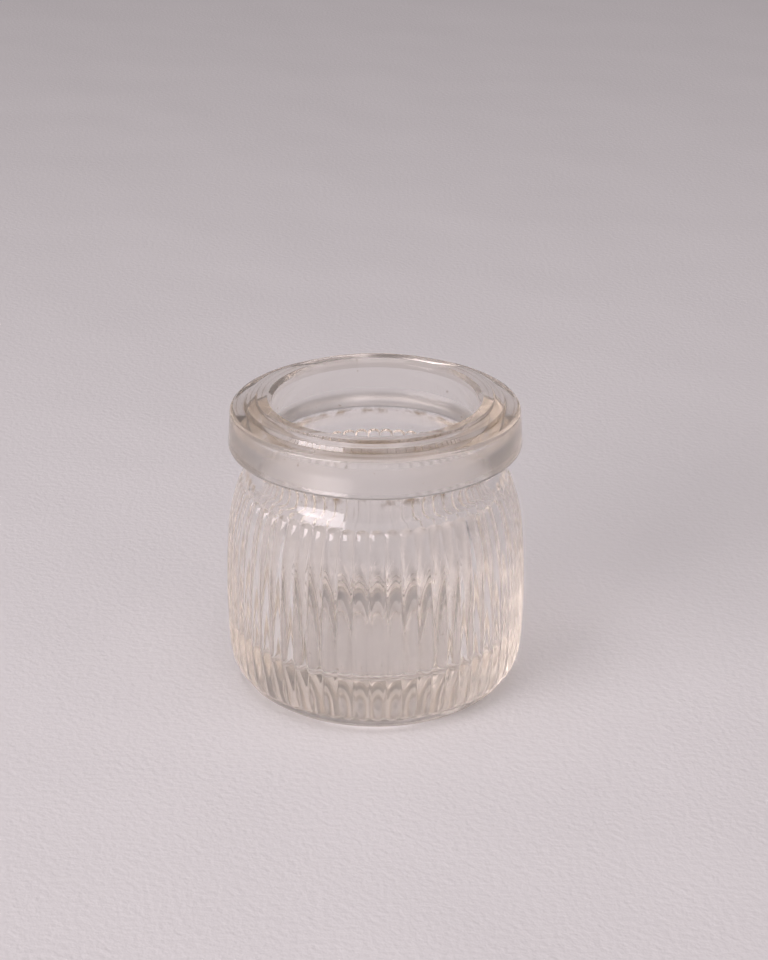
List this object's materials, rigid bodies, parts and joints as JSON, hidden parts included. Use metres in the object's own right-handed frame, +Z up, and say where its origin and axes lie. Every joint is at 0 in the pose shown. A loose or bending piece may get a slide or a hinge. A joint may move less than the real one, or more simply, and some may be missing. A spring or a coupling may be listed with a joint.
{
  "type": "dappen dish",
  "caption": "Small open round dish of thick clear pressed glass with a stepped rim band, a narrow neck, an upright ribbed belly and a heavy base.",
  "frame": {"origin": "centre of the circle the dish stands on, on the standing plane", "axes": "+Z up along the dish's axis, out of the open mouth; X and Y lie in the standing plane"},
  "size_m": [0.05, 0.05, 0.05],
  "materials": {
    "clear_glass": "polished pressed glass, very slightly straw tinted where it is thick"
  },
  "bodies": {
    "root": {"glass_dish": "clear_glass"}
  },
  "joints": []
}
